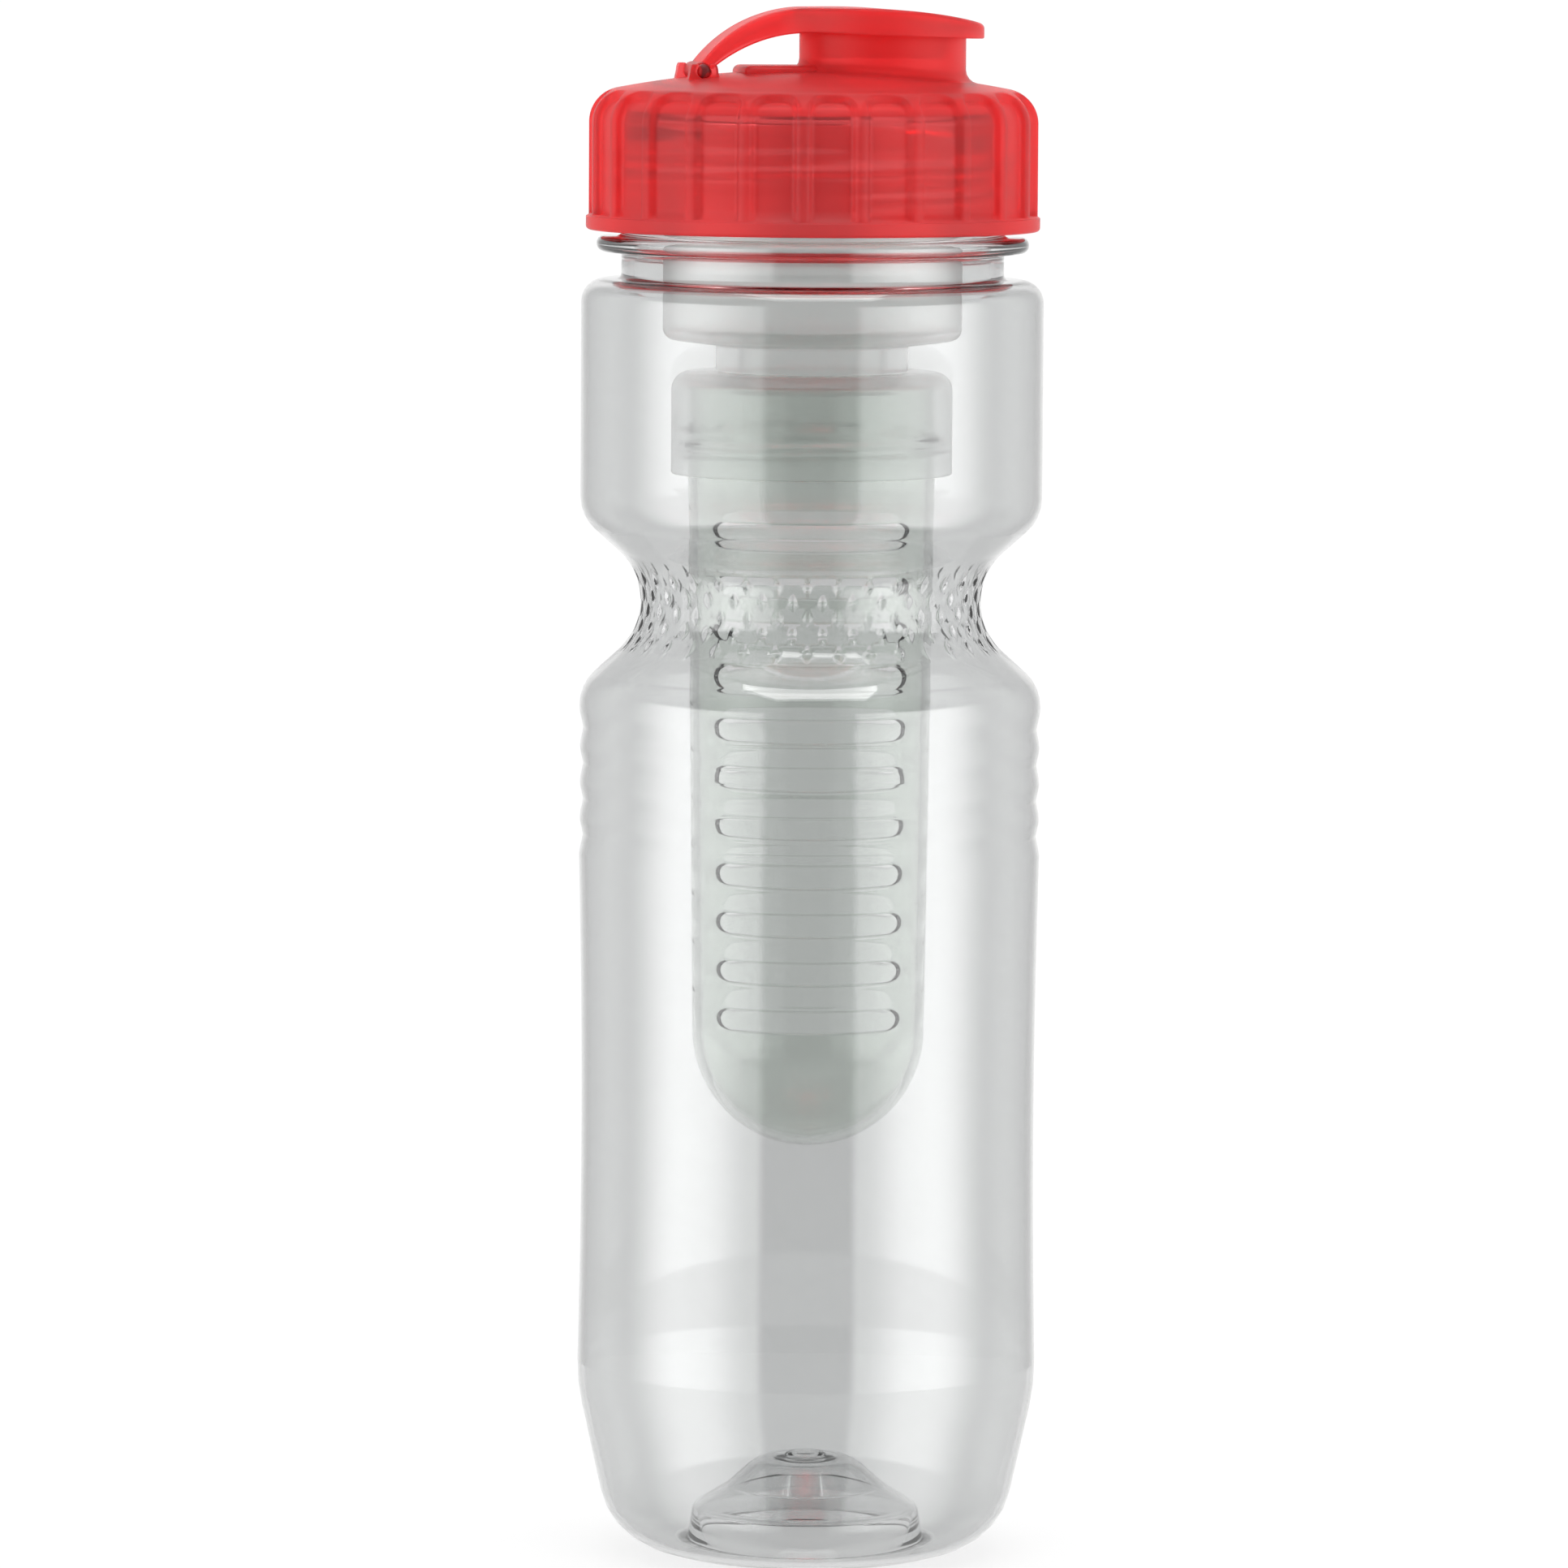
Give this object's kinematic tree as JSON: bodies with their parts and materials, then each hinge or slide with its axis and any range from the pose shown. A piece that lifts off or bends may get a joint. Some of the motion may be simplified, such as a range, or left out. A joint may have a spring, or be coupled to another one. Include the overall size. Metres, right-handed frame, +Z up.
{
  "type": "infuser water bottle",
  "caption": "Clear waisted sports bottle with a ribbed screw lid, a flip top that plugs the drinking spout, and a slotted fruit infuser basket hanging from the lid",
  "frame": {"origin": "middle of the standing ring on the ground, on the bottle's axis", "axes": "+Z up along the bottle's axis, +X from the flip top's hinge to the spout, +Y to the back of the picture"},
  "size_m": [0.073, 0.073, 0.2449],
  "materials": {
    "clear_bottle": "clear blown plastic, glossy inside and out",
    "red_lid": "glossy translucent red moulding",
    "seal": "soft pale silicone",
    "frosted": "milky frosted natural plastic",
    "clear_basket": "clear moulding with a faint grey-green tint"
  },
  "bodies": {
    "bottle": {"bottle_body": "clear_bottle"},
    "gasket": {"lid_gasket": "seal"},
    "lid": {"screw_lid": "red_lid"},
    "flip": {"flip_cap": "red_lid"},
    "insert": {"lid_insert": "frosted"},
    "collar": {"infuser_cap": "frosted"},
    "basket": {"infuser_basket": "clear_basket"}
  },
  "joints": [
    {"name": "lid_rise", "type": "slide", "parent": "bottle", "child": "gasket", "axis": [0, 0, 1], "range_m": [0, 0.01125]},
    {"name": "lid_turn", "type": "hinge", "parent": "gasket", "child": "lid", "pos_m": [0, 0, 0.2297], "axis": [0, 0, 1], "range_deg": [0, 900]},
    {"name": "flip_open", "type": "hinge", "parent": "lid", "child": "flip", "pos_m": [-0.0186, 0, 0.2349], "axis": [0, -1, 0], "range_deg": [0, 135]},
    {"name": "insert_pull", "type": "slide", "parent": "lid", "child": "insert", "axis": [0, 0, -1], "range_m": [0, 0.009]},
    {"name": "cap_turn", "type": "hinge", "parent": "insert", "child": "collar", "pos_m": [0, 0, 0.1876], "axis": [0, 0, 1], "range_deg": [0, 900]},
    {"name": "basket_drop", "type": "slide", "parent": "insert", "child": "basket", "axis": [0, 0, -1], "range_m": [0, 0.00625]}
  ],
  "couplings": [
    {"joint": "lid_turn", "follows": "lid_rise", "rad_per_m": 1396.3},
    {"joint": "cap_turn", "follows": "basket_drop", "rad_per_m": 2513.3}
  ]
}
